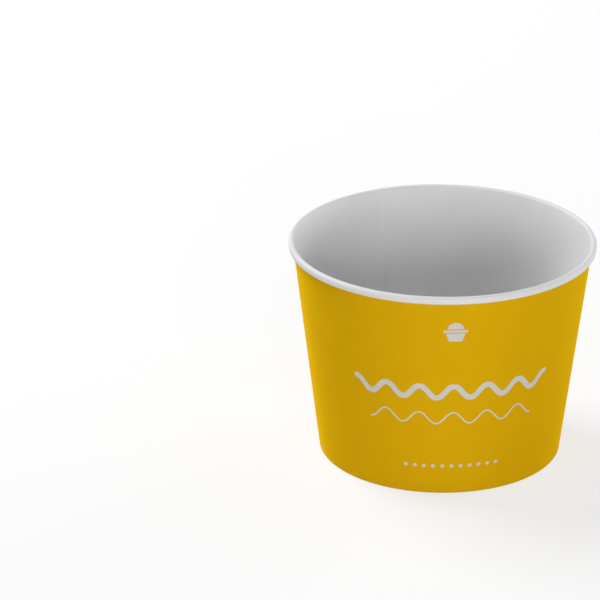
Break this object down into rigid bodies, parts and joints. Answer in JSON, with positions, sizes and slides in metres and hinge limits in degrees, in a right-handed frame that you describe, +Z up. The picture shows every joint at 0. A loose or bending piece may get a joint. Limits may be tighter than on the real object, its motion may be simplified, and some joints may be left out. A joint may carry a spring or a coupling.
{
  "type": "paper ice cream cup",
  "caption": "Small tapered paper cup for ice cream, printed outside and white inside, with a curled rim, a lapped side seam and a recessed base in a folded foot.",
  "frame": {"origin": "centre of the flat ring under the folded foot, on the surface that the cup stands on", "axes": "+Z up along the cup's axis, -Y towards the printed front, +X to the right of the front"},
  "size_m": [0.066, 0.066, 0.0478],
  "materials": {
    "printed_paper": "satin coated board, printed yellow outside and white inside",
    "white_paper": "satin coated white board"
  },
  "bodies": {
    "root": {"side_wall": "printed_paper", "base_disc": "white_paper"}
  },
  "joints": []
}
